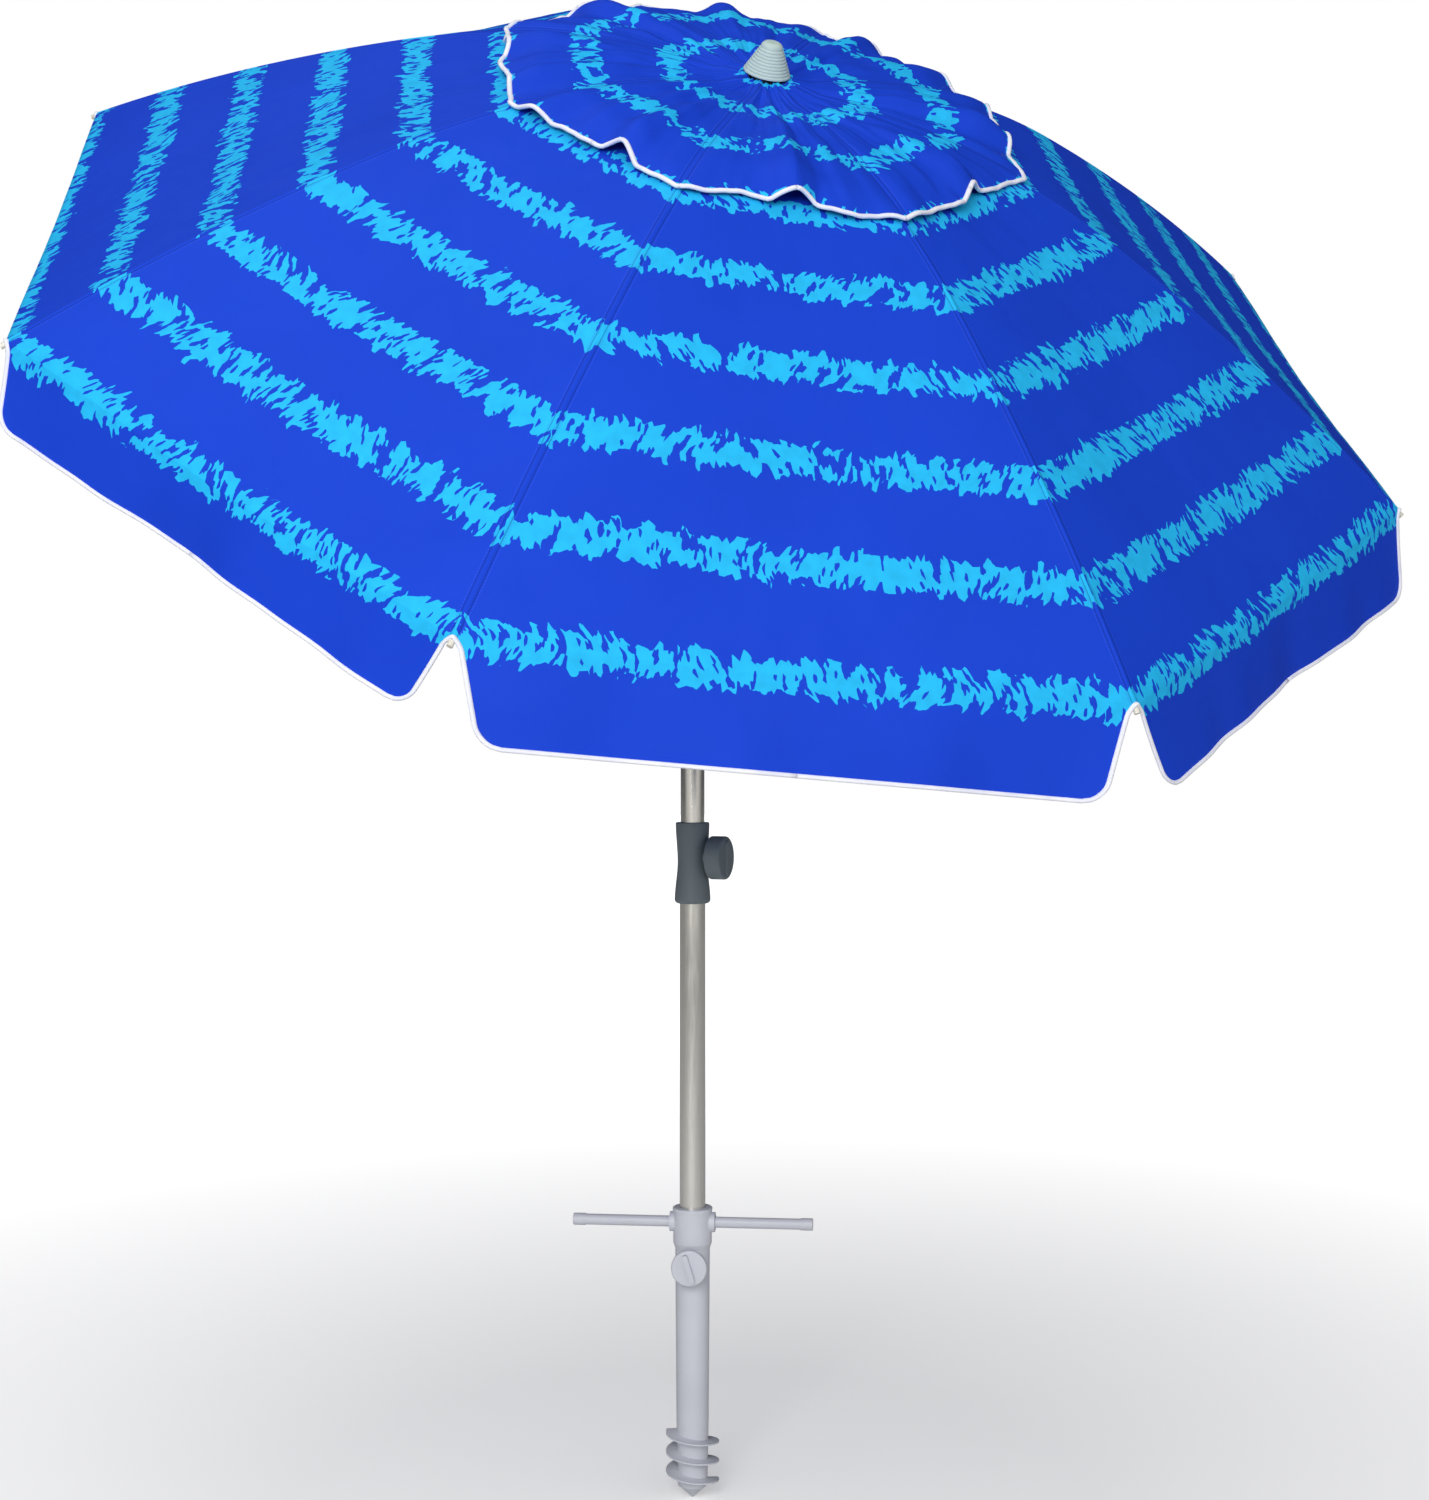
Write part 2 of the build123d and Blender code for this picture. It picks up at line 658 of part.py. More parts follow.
def half_gore(rib_angle, side, low_r, high_r, lift):
    """Half a gore: the strip pushed from the gore's middle to the rib, along the hem's direction."""
    middle = radial_plane(rib_angle + side * half_angle)
    towards_rib = 1 if middle.z_dir.dot(radial(rib_angle)) > 0 else -1
    rib_plane = radial_plane(rib_angle)
    keep_middle = rib_plane.z_dir.dot(radial(rib_angle + side * half_angle)) > 0
    with BuildPart() as half:
        with BuildSketch(middle.offset(towards_rib * gore_gap)):
            with BuildLine():
                band(low_r, high_r, lift)
            make_face()
        extrude(amount=towards_rib * (gore_half_width + 30))
        split(bisect_by=rib_plane, keep=Keep.TOP if keep_middle else Keep.BOTTOM)
    return half.part


def half_flap(rib_angle, side):
    """Half of a valance flap: it hangs from the hem, from the gore's middle to the notch at the rib."""
    middle = radial_plane(rib_angle + side * half_angle)
    towards_rib = 1 if middle.z_dir.dot(radial(rib_angle)) > 0 else -1
    along = middle.z_dir * towards_rib
    hem = middle.from_local_coords((canopy_r * gore_ratio, surface_h(canopy_r), 0))
    # low gores hang plumb, and high ones halfway between plumb and the canopy's axis
    lowness = (1 + cos(radians(rib_angle + side * half_angle))) / 2
    down = (Vector(0, 0, -1) * (0.4 + 0.6 * lowness) - canopy.z_dir * 0.6 * (1 - lowness)).normalized()
    square = down - along * down.dot(along)
    depth = flap_drop * square.length
    shear = flap_sway * flap_drop * down.dot(along)
    square = square.normalized()
    flap_plane = Plane(origin=hem, x_dir=along, z_dir=along.cross(square))
    far = gore_half_width - flap_notch
    corner = (far - flap_inset + shear, depth)
    with BuildPart() as flap:
        with BuildSketch(flap_plane.offset(-fabric_thick / 2)) as outline:
            Polygon((gore_gap, -0.6), (far, -0.6), corner, (gore_gap, depth), align=None)
            fillet(outline.vertices().sort_by_distance(corner)[0], flap_corner_r)
        extrude(amount=fabric_thick)
    return flap.part


for i in range(rib_count):
    angle = first_rib + i * 2 * half_angle
    pieces = []
    for side in (-1, 1):
        pieces.append(half_gore(angle, side, hole_r, canopy_r, 0))
        pieces.append(half_flap(angle, side))
        pieces.append(half_gore(angle, side, vent_low_r + 2, vent_high_r, vent_lift))
    with BuildPart() as panel:
        for piece in pieces:
            add(piece)
    save(panel.part, f"canopy_{i + 1}")
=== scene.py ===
"""Beach umbrella: the sewn canopy, its piping and trims, and the finish of every CAD part.

Metres, in the CAD frame. The canopy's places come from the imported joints: the tilt hinge gives the
pivot, the runner gives the axis, and the rib hinges give each rib's direction.
"""
import bpy
import json
import math
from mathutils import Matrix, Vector


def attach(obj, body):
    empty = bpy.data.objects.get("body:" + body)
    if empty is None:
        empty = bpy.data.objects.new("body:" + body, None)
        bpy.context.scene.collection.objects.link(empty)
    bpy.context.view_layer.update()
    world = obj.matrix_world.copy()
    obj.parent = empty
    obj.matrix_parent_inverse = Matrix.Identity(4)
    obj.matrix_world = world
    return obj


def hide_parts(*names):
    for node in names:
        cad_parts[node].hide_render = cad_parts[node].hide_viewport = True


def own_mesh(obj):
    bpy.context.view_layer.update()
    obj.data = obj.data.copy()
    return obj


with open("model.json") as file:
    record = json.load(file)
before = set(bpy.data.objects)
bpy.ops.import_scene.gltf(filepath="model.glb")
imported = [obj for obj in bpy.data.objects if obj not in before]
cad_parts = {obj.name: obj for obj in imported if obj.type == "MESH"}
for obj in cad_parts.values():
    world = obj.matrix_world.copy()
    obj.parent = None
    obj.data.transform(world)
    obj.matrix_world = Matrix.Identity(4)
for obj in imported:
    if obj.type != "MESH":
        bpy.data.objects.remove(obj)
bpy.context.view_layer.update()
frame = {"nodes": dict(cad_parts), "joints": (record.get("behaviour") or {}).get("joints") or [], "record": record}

# ---------------------------------------------------------------- sizes
RIBS = 8
SPREAD = math.radians(180 / RIBS)
CANOPY_R = 0.980            # radius to the rib tips, square to the canopy's axis
TIP_H = 0.216               # height of the tips above the tilt pivot, along the axis
CROWN_FLAT_R = 0.115        # the ribs run level out to here
INNER_BEND = 1.023          # then bend to this radius
BEND_CHANGE_R = 0.500       # as far out as here
OUTER_BEND = 3.394          # and to this one out to the tips
HOLE_R = 0.190              # edge of the main cloth under the vent cover
GORE_SLACK = 0.009          # sag of the main cloth's hem between two ribs
SEAM_HIGH, SEAM_WIDE = 0.0011, 0.0028
VENT_LOW_R, VENT_HIGH_R = 0.031, 0.366
VENT_LIFT = 0.0048          # the vent cover lies this far above the ribs
VENT_RISE_R = 0.075         # and climbs to the hub from here in
VENT_RISE = 0.008
VENT_PUFF, VENT_RIM_PUFF = 0.027, 0.004
VENT_FLARE = 0.009
CREASE_DEEP, CREASE_WIDE = 0.0128, 0.012
CREASE_SHARES = (0.24, 0.55, 0.83)
FLAP_DROP = 0.115
FLAP_NOTCH = 0.007          # half the gap between two flaps at their top
FLAP_INSET = 0.026          # how much narrower each side is at the bottom
FLAP_CORNER = 0.024
FLAP_SWAY = 0.25
FLAP_CURL = 0.006
CLOTH = 0.0006
PIPE_R = 0.0031
PIPE_SIDES = 8
STRIPE_PITCH = CANOPY_R / 8
VENT_STRIPE_SHIFT = 0.0135

ROWS, SIDE = ((104, 30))

joints = {j["name"]: j for j in frame["joints"]}
pivot = Vector(joints["tilt"]["pos_m"])
up = Vector(joints["runner_slide"]["axis"]).normalized()


def rib_root(i):
    return Vector(joints[f"rib_{i % RIBS + 1}_hinge"]["pos_m"])


def rib_out(i):
    """Unit vector from the canopy's axis towards rib i."""
    away = rib_root(i) - pivot
    return (away - up * away.dot(up)).normalized()


outward = [rib_out(i) for i in range(RIBS)]
inner_end = math.asin((BEND_CHANGE_R - CROWN_FLAT_R) / INNER_BEND)
outer_start = BEND_CHANGE_R - OUTER_BEND * math.sin(inner_end)


def fall(r):
    """How far the cloth over a rib has fallen below the crown at radius r."""
    if r <= CROWN_FLAT_R:
        return 0.0
    turn = math.asin((min(r, BEND_CHANGE_R) - CROWN_FLAT_R) / INNER_BEND)
    inner = INNER_BEND * (1 - math.cos(min(inner_end, turn)))
    if r <= BEND_CHANGE_R:
        return inner
    outer_turn = math.asin((r - outer_start) / OUTER_BEND)
    return inner + OUTER_BEND * (math.cos(inner_end) - math.cos(outer_turn))


CROWN_H = TIP_H + fall(CANOPY_R)


def wave(*terms):
    """Sum of sines: each term is (size, turns, phase), with turns already times its coordinate."""
    return sum(size * math.sin(2 * math.pi * turns + phase) for size, turns, phase in terms)


def noise2(x, y, seed):
    """Smooth repeatable noise from a few sines, about -1 to 1."""
    return (math.sin(x * 1.7 + y * 2.9 + seed * 1.3) + math.sin(x * 3.1 - y * 1.3 + seed * 2.1)
            + math.sin(-x * 0.7 + y * 4.7 + seed * 0.7)) / 3


def gore_frame(k, c, r):
    """Point on the straight chord between ribs k and k+1, at share c of the way, at radius r."""
    return pivot + (outward[k % RIBS] * (1 - c) + outward[(k + 1) % RIBS] * c) * r


def chord(r):
    return 2 * r * math.sin(SPREAD)


def seam_ridge(distance):
    """The folded seam stands up a little over the rib."""
    return SEAM_HIGH * math.exp(-(distance / SEAM_WIDE) ** 2)


def main_point(k, c, r):
    """Main cloth: straight from rib to rib, a little slack in the middle, with faint pulls."""
    edge = min(c, 1 - c) * chord(r)
    mid = math.sin(math.pi * c)
    slack = GORE_SLACK * mid * mid * (r / CANOPY_R)
    pulls = 0.0007 * mid * noise2(c * 9 + k, r * 14, k * 2.3)
    pulls += 0.0005 * mid * noise2(c * 21, r * 6, k * 5.1)
    height = CROWN_H - fall(r) - slack + pulls + seam_ridge(edge)
    return gore_frame(k, c, r) + up * height


def vent_point(k, c, r):
    """Vent cover: tied down at the ribs, puffed, rippled and creased between them."""
    edge = min(c, 1 - c) * chord(r)
    mid = math.sin(math.pi * c) ** 0.7
    reach = r / VENT_HIGH_R
    puff = mid * (VENT_PUFF * reach ** 2 * (1 - reach ** 9) + VENT_RIM_PUFF * reach ** 4)
    ripple = mid * reach ** 2.4 * wave((0.0105, 2.1 * c, k * 1.9 + 0.6), (0.0058, 3.9 * c, k * 3.7 + 1))
    lifted = ripple if ripple > 0 else max(ripple, -0.55 * puff)
    creases = 0.0
    for share in CREASE_SHARES:
        aside = (c - share - 0.05 * (1 - reach)) * chord(r)
        creases -= CREASE_DEEP * mid * reach * (1 - reach) * math.exp(-(aside / CREASE_WIDE) ** 2)
    pleats = 0.0030 * (1 - reach) * math.sin(math.pi * c * 6) * min(1, reach * 5) * math.sin(math.pi * c)
    folds = 0.0024 * mid * noise2(c * 8 + k, r * 22, k + 4)
    folds += 0.0012 * mid * noise2(c * 25, r * 9, k * 2)
    rise = VENT_RISE * max(0, (VENT_RISE_R - r) / (VENT_RISE_R - VENT_LOW_R))
    waves = puff + lifted + creases + pleats + folds
    height = CROWN_H - fall(r) + VENT_LIFT + rise + waves + seam_ridge(edge) * 1.5
    flare = VENT_FLARE * reach ** 6 * wave((0.7, 1.0 * c, k * 2.2), (0.5, 3.0 * c, k * 0.9))
    return gore_frame(k, c, r + flare * mid) + up * height


# ---------------------------------------------------------------- valance flaps
def flap_axes(k):
    """A flap's hem middle, its directions along, out and down, its drop's scale and its sway."""
    middle = gore_frame(k, 0.5, CANOPY_R) + up * (CROWN_H - fall(CANOPY_R))
    along = (outward[(k + 1) % RIBS] - outward[k % RIBS]).normalized()
    out = (outward[k % RIBS] + outward[(k + 1) % RIBS]).normalized()
    lowness = (1 + out.dot(low_side)) / 2
    down = (Vector((0, 0, -1)) * (0.4 + 0.6 * lowness) - up * 0.6 * (1 - lowness)).normalized()
    sway = down.dot(along)
    square = down - along * sway
    return middle, along, out, square.normalized(), square.length, sway * FLAP_SWAY


low_side = (Vector((0, -1, 0)) - up * up.dot(Vector((0, -1, 0)))).normalized()
flap_data = [flap_axes(k) for k in range(RIBS)]


def flap_drop(k):
    """The flaps' drops differ by up to a tenth round the canopy."""
    return FLAP_DROP * (0.93 + 0.09 * math.cos(2 * math.pi * (k - 0.5) / RIBS))


def flap_half_width(k, drop, side):
    """Half width of the flap below the hem: round at the notch, sloping, with round lower corners."""
    share = drop / flap_drop(k)
    sway = flap_data[k][5]
    notch = FLAP_NOTCH * min(1, math.sqrt(drop / 0.012))
    width = chord(CANOPY_R) / 2 - notch - FLAP_INSET * share + side * sway * drop
    from_bottom = flap_drop(k) - drop
    if from_bottom < FLAP_CORNER:
        width -= FLAP_CORNER - math.sqrt(max(0.0, FLAP_CORNER ** 2 - (FLAP_CORNER - from_bottom) ** 2))
    return width


def flap_point(k, along_m, drop):
    """A point on gore k's flap: along_m from the middle of the hem, drop below it."""
    middle, along, out, square, scale, _ = flap_data[k]
    c = min(1, max(0, 0.5 + along_m / chord(CANOPY_R)))
    mid = math.sin(math.pi * c)
    share = drop / flap_drop(k)
    hem = (main_point(k, c, CANOPY_R) - middle).dot(up)
    slack = hem * (1 - share) ** 2
    sag = share * wave((0.005, 1.6 * c, k * 2.1), (0.003, 3.4 * c, k * 4.4), (0.0012, 7.3 * c, k))
    face = square.cross(along).normalized()
    if face.dot(out) < 0:
        face = -face
    curl = FLAP_CURL * share * share * (1 - mid)
    return middle + along * along_m + square * drop * scale + up * slack + face * (sag + curl)


# ---------------------------------------------------------------- mesh building
def new_mesh(name, points, faces, uvs, seams, materials):
    """uvs and seams hold one pair for each corner of each face."""
    mesh = bpy.data.meshes.new(name)
    mesh.from_pydata([tuple(p) for p in points], [], faces)
    for layer_name, values in (("print", uvs), ("seam", seams)):
        if values:
            layer = mesh.uv_layers.new(name=layer_name)
            for loop, value in zip(layer.data, values):
                loop.uv = value
    mesh.polygons.foreach_set("use_smooth", [True] * len(mesh.polygons))
    for finish in materials:
        mesh.materials.append(finish)
    piece = bpy.data.objects.new(name, mesh)
    bpy.context.scene.collection.objects.link(piece)
    return piece


def apply_modifiers(piece):
    depsgraph = bpy.context.evaluated_depsgraph_get()
    mesh = bpy.data.meshes.new_from_object(piece.evaluated_get(depsgraph), preserve_all_data_layers=True,
                                           depsgraph=depsgraph)
    piece.modifiers.clear()
    piece.data = mesh
    return piece


class Sheet:
    """A cloth mesh gathered from grids, which share the points where they meet."""

    def __init__(self):
        self.points, self.faces, self.uvs, self.seams = [], [], [], []
        self.known = {}

    def grid(self, rows, flip):
        """Add the faces between rows of (point, print uv, seam uv), turned over if flip is true."""
        index = [[self.add(entry[0]) for entry in row] for row in rows]
        for a in range(len(rows) - 1):
            for b in range(len(rows[a]) - 1):
                corners = [(a, b), (a, b + 1), (a + 1, b + 1), (a + 1, b)]
                if flip:
                    corners.reverse()
                self.faces.append([index[i][j] for i, j in corners])
                for i, j in corners:
                    self.uvs.append(rows[i][j][1])
                    self.seams.append(rows[i][j][2])

    def add(self, point):
        key = (round(point.x, 6), round(point.y, 6), round(point.z, 6))
        if key not in self.known:
            self.known[key] = len(self.points)
            self.points.append(point)
        return self.known[key]


NEAR_SEAM = (0.0, 0.0014, 0.0028, 0.0045, 0.007)
PRINT_STEP = 3.1            # each gore is cut from another stretch of the print
CLEAR_OF_SEAM = 0.05        # the flaps have no seam or stitches


def columns(width):
    """Distances from the rib to the gore's middle, closer together beside the seam."""
    near = [d for d in NEAR_SEAM if d < width * 0.4]
    rest = width - near[-1]
    return near + [near[-1] + rest * (j + 1) / SIDE for j in range(SIDE)]


def share_of(k, i, distance, r):
    """Share c along gore k's chord for a distance from rib i, which is one of its two ribs."""
    part = distance / chord(r)
    return part if k % RIBS == i % RIBS else 1 - part


def gore_rows(i, k, radii, point):
    rows = []
    for r in radii:
        row = []
        for distance in columns(chord(r) / 2):
            c = share_of(k, i, distance, r)
            print_uv = ((c - 0.5) * chord(r) + PRINT_STEP * (k + 1), r)
            row.append((point(k, c, r), print_uv, (distance, r)))
        rows.append(row)
    return rows


def flap_rows(i, k):
    """Half a flap, from its end near rib i to the gore's middle. Its top row is the main cloth's hem."""
    side = -1 if k % RIBS == i % RIBS else 1
    steps = 22
    rows = []
    full = chord(CANOPY_R) / 2
    for step in range(steps + 1):
        drop = flap_drop(k) * step_curve(step / steps)
        half = flap_half_width(k, drop, side)
        row = []
        for distance in columns(full):
            along_m = side * half * (1 - distance / full)
            point = flap_point(k, along_m, drop)
            if step == 0:
                point = main_point(k, share_of(k, i, distance, CANOPY_R), CANOPY_R)
            print_uv = (along_m + PRINT_STEP * (k + 1), CANOPY_R + drop)
            row.append((point, print_uv, (CLEAR_OF_SEAM, CANOPY_R + drop)))
        rows.append(row)
    return rows


def step_curve(t):
    """Steps that are close together at both ends of a flap's drop."""
    return 0.5 * (1 - math.cos(math.pi * t)) * 0.7 + 0.3 * t * t


def flap_edge(i, k):
    """Outline of a half flap for its piping: from the rib's tip down the end and along the bottom."""
    side = -1 if k % RIBS == i % RIBS else 1
    line = [main_point(k, share_of(k, i, 0, CANOPY_R), CANOPY_R)]
    steps = 36
    for step in range(1, steps + 1):
        drop = flap_drop(k) * step_curve(step / steps)
        line.append(flap_point(k, side * flap_half_width(k, drop, side), drop))
    last = flap_half_width(k, flap_drop(k), side)
    for j in range(1, SIDE + 1):
        line.append(flap_point(k, side * last * (1 - j / SIDE), flap_drop(k)))
    return line


def piping(name, lines, radius, flatness, finish):
    """Closed bias tape round an edge: an oval tube along each line."""
    points, faces = [], []
    ring = PIPE_SIDES
    for line in lines:
        start = len(points)
        for n, centre in enumerate(line):
            ahead = line[min(n + 1, len(line) - 1)] - line[max(n - 1, 0)]
            ahead.normalize()
            side = ahead.cross(up).normalized()
            top = side.cross(ahead).normalized()
            for a in range(ring):
                turn = 2 * math.pi * a / ring
                across = side * radius * math.cos(turn)
                points.append(centre + across + top * radius * flatness * math.sin(turn))
        for n in range(len(line) - 1):
            for a in range(ring):
                b = (a + 1) % ring
                faces.append([start + n * ring + a, start + n * ring + b,
                              start + (n + 1) * ring + b, start + (n + 1) * ring + a])
        end = start + (len(line) - 1) * ring
        faces.append([start + a for a in reversed(range(ring))])
        faces.append([end + a for a in range(ring)])
    return new_mesh(name, points, faces, [], [], [finish])


# ---------------------------------------------------------------- materials
EDGE_CELLS, EDGE_CELL_SQUASH = 165.0, 0.62      # cells per metre that tear the stripes' edges
HOLE_CELLS, HOLE_CELL_SQUASH = 300.0, 0.42      # and finer ones for the holes in them
STRIPE_HALF_WIDTHS = (0.0110, 0.0265)
STRIPES_END_R = CANOPY_R + 0.062                # the flaps are plain below here
FOLD_AT, STITCH_AT = 0.0042, 0.0066             # distances from the rib
STITCHES_PER_M = 290.0
WEAVE = 5200.0                                  # radians per metre


def material(name):
    mat = bpy.data.materials.new(name)
    mat.use_nodes = True
    tree = mat.node_tree
    return mat, tree, tree.nodes["Principled BSDF"]


class Nodes:
    """Short forms for the few node kinds used."""

    def __init__(self, tree):
        self.tree = tree

    def put(self, socket, value):
        if isinstance(value, bpy.types.NodeSocket):
            self.tree.links.new(value, socket)
        else:
            socket.default_value = value

    def math(self, operation, a, b=0.0):
        node = self.tree.nodes.new("ShaderNodeMath")
        node.operation = operation
        self.put(node.inputs[0], a)
        self.put(node.inputs[1], b)
        return node.outputs[0]

    def uv(self, name):
        node = self.tree.nodes.new("ShaderNodeUVMap")
        node.uv_map = name
        return self.split(node.outputs[0])

    def vector(self, x, y, z=0.0):
        node = self.tree.nodes.new("ShaderNodeCombineXYZ")
        for socket, value in zip(node.inputs, (x, y, z)):
            self.put(socket, value)
        return node.outputs[0]

    def object_coords(self):
        return self.tree.nodes.new("ShaderNodeTexCoord").outputs["Object"]

    def noise(self, vector, scale, detail=2.0, rough=0.5):
        node = self.tree.nodes.new("ShaderNodeTexNoise")
        self.put(node.inputs["Vector"], vector)
        node.inputs["Scale"].default_value = scale
        node.inputs["Detail"].default_value = detail
        node.inputs["Roughness"].default_value = rough
        return node.outputs["Fac"]

    def cells(self, vector, scale):
        """Position of the nearest cell centre, for angular shapes."""
        node = self.tree.nodes.new("ShaderNodeTexVoronoi")
        node.voronoi_dimensions = "2D"
        self.put(node.inputs["Vector"], vector)
        node.inputs["Scale"].default_value = scale
        return node.outputs["Position"]

    def split(self, vector):
        node = self.tree.nodes.new("ShaderNodeSeparateXYZ")
        self.put(node.inputs[0], vector)
        return node.outputs[0], node.outputs[1]

    def scaled(self, vector, factors):
        node = self.tree.nodes.new("ShaderNodeVectorMath")
        node.operation = "MULTIPLY"
        self.put(node.inputs[0], vector)
        node.inputs[1].default_value = factors
        return node.outputs[0]

    def mix(self, share, a, b):
        node = self.tree.nodes.new("ShaderNodeMix")
        node.data_type = "RGBA"
        self.put(node.inputs["Factor"], share)
        for socket, value in ((node.inputs[6], a), (node.inputs[7], b)):
            if isinstance(value, bpy.types.NodeSocket):
                self.put(socket, value)
            else:
                socket.default_value = (*value, 1)
        return node.outputs[2]

    def remap(self, value, low, high, to_low=0.0, to_high=1.0):
        node = self.tree.nodes.new("ShaderNodeMapRange")
        self.put(node.inputs[0], value)
        for socket, number in zip(node.inputs[1:5], (low, high, to_low, to_high)):
            socket.default_value = number
        return node.outputs[0]

    def bump(self, height, strength, distance):
        node = self.tree.nodes.new("ShaderNodeBump")
        self.put(node.inputs["Height"], height)
        node.inputs["Strength"].default_value = strength
        node.inputs["Distance"].default_value = distance
        return node.outputs[0]


def stripe_offset(n, r, shift):
    """Signed distance of radius r from the middle of the nearest stripe."""
    phase = n.math("DIVIDE", n.math("SUBTRACT", r, shift), STRIPE_PITCH)
    return n.math("MULTIPLY", n.math("SUBTRACT", phase, n.math("ROUND", phase)), STRIPE_PITCH)


def printed_stripes(n, along, r, shift):
    """1 on the ragged stripes: the print is torn into small cells, so its edges are angular."""
    slope = n.remap(n.noise(n.vector(along, r), 9.0, 1.0), 0.35, 0.65, -0.55, 0.55)
    leaned = n.math("ADD", along, n.math("MULTIPLY", stripe_offset(n, r, shift), slope))
    # the cells are taller than wide, and lean to and fro along the stripe
    coarse = n.cells(n.vector(leaned, n.math("MULTIPLY", r, EDGE_CELL_SQUASH)), EDGE_CELLS)
    cell_x, cell_y = n.split(coarse)
    fine = n.cells(n.vector(leaned, n.math("MULTIPLY", r, HOLE_CELL_SQUASH)), HOLE_CELLS)
    fine_x, fine_y = n.split(fine)
    off = n.math("ABSOLUTE", stripe_offset(n, n.math("DIVIDE", cell_y, EDGE_CELL_SQUASH), shift))
    ragged = n.noise(n.vector(cell_x, cell_y), 70.0, 2.0, 0.7)
    widened = n.remap(r, 0.02, 0.07, 0.018, 0.0)
    half = n.math("ADD", n.remap(ragged, 0.3, 0.7, *STRIPE_HALF_WIDTHS), widened)
    inside = n.math("LESS_THAN", off, half)
    torn = n.noise(n.vector(fine_x, fine_y, 7.3), 105.0, 1.0, 0.5)
    kept = n.math("GREATER_THAN", torn, 0.415)
    stretched = n.vector(n.math("MULTIPLY", fine_x, 1.5), n.math("MULTIPLY", fine_y, 0.6), 3.1)
    whole = n.math("GREATER_THAN", n.noise(stretched, 190.0, 1.0, 0.5), 0.35)
    on_canopy = n.math("LESS_THAN", r, STRIPES_END_R)
    return n.math("MULTIPLY", n.math("MULTIPLY", inside, kept), n.math("MULTIPLY", whole, on_canopy))


def near(n, distance, place, half_width):
    """1 within half_width of a distance from the seam."""
    off = n.math("ABSOLUTE", n.math("SUBTRACT", distance, place))
    return n.math("LESS_THAN", off, half_width)


def canopy_cloth(name, blue, deep, cyan, stripe_shift, fade):
    """Printed polyester: ragged cyan stripes, a fine weave, seam stitches and faint unevenness."""
    mat, tree, shader = material(name)
    n = Nodes(tree)
    along, r = n.uv("print")
    printed = printed_stripes(n, along, r, stripe_shift)
    tone = n.noise(n.vector(along, r), 5.0, 3.0)
    ground = n.mix(n.remap(tone, 0.3, 0.7), deep, blue)
    wear = n.noise(n.vector(along, r, 2.0), 60.0, 2.0)
    faded = n.mix(n.remap(wear, 0.35, 0.75), cyan, tuple(x * 0.86 for x in cyan))
    colour = n.mix(n.math("MULTIPLY", printed, fade), ground, faded)
    # the shadow of the seam's fold, and the lock stitches beside it
    distance, run = n.uv("seam")
    fold = near(n, distance, FOLD_AT, 0.0008)
    colour = n.mix(n.math("MULTIPLY", fold, 0.45), colour, tuple(x * 0.35 for x in deep))
    dash = n.math("LESS_THAN", n.math("FRACT", n.math("MULTIPLY", run, STITCHES_PER_M)), 0.62)
    stitch = n.math("MULTIPLY", near(n, distance, STITCH_AT, 0.0005), dash)
    thread = tuple(min(1, x * 1.4 + 0.03) for x in blue)
    colour = n.mix(n.math("MULTIPLY", stitch, 0.5), colour, thread)
    tree.links.new(colour, shader.inputs["Base Color"])
    warp = n.math("SINE", n.math("MULTIPLY", along, WEAVE))
    weft = n.math("SINE", n.math("MULTIPLY", r, WEAVE))
    weave = n.math("MULTIPLY", n.math("MULTIPLY", warp, weft), 0.05)
    crumple = n.noise(n.vector(along, r), 22.0, 4.0, 0.55)
    height = n.math("ADD", weave, n.math("ADD", crumple, n.math("MULTIPLY", stitch, 0.4)))
    tree.links.new(n.bump(height, 0.35, 0.0012), shader.inputs["Normal"])
    tree.links.new(n.remap(crumple, 0.3, 0.7, 0.58, 0.72), shader.inputs["Roughness"])
    shader.inputs["Specular IOR Level"].default_value = 0.10
    return mat


def plastic(name, light, dark, rough, grain):
    """Moulded plastic: slow colour drift, fine surface grain and uneven gloss."""
    mat, tree, shader = material(name)
    n = Nodes(tree)
    where = n.object_coords()
    drift = n.noise(where, 9.0, 3.0)
    speck = n.noise(where, grain, 3.0, 0.6)
    colour = n.mix(n.remap(drift, 0.32, 0.68), dark, light)
    colour = n.mix(n.remap(speck, 0.62, 0.74, 0.0, 0.25), colour, tuple(x * 0.7 for x in dark))
    tree.links.new(colour, shader.inputs["Base Color"])
    tree.links.new(n.remap(speck, 0.3, 0.7, rough - 0.06, rough + 0.08), shader.inputs["Roughness"])
    tree.links.new(n.bump(speck, 0.25, 0.0004), shader.inputs["Normal"])
    shader.inputs["Specular IOR Level"].default_value = 0.45
    return mat


def drawn_metal(name, light, dark, rough, axis_stretch):
    """Metal with fine drawn lines, along the axis with the small stretch, and handling marks."""
    mat, tree, shader = material(name)
    n = Nodes(tree)
    where = n.object_coords()
    lines = n.noise(n.scaled(where, axis_stretch), 900.0, 3.0, 0.6)
    marks = n.noise(where, 14.0, 4.0, 0.6)
    colour = n.mix(n.remap(lines, 0.3, 0.7), dark, light)
    tree.links.new(colour, shader.inputs["Base Color"])
    gloss = n.remap(lines, 0.3, 0.7, rough - 0.05, rough + 0.05)
    worn = n.math("ADD", gloss, n.remap(marks, 0.4, 0.7, 0.0, 0.07))
    tree.links.new(worn, shader.inputs["Roughness"])
    tree.links.new(n.bump(lines, 0.10, 0.0002), shader.inputs["Normal"])
    shader.inputs["Metallic"].default_value = 1.0
    return mat


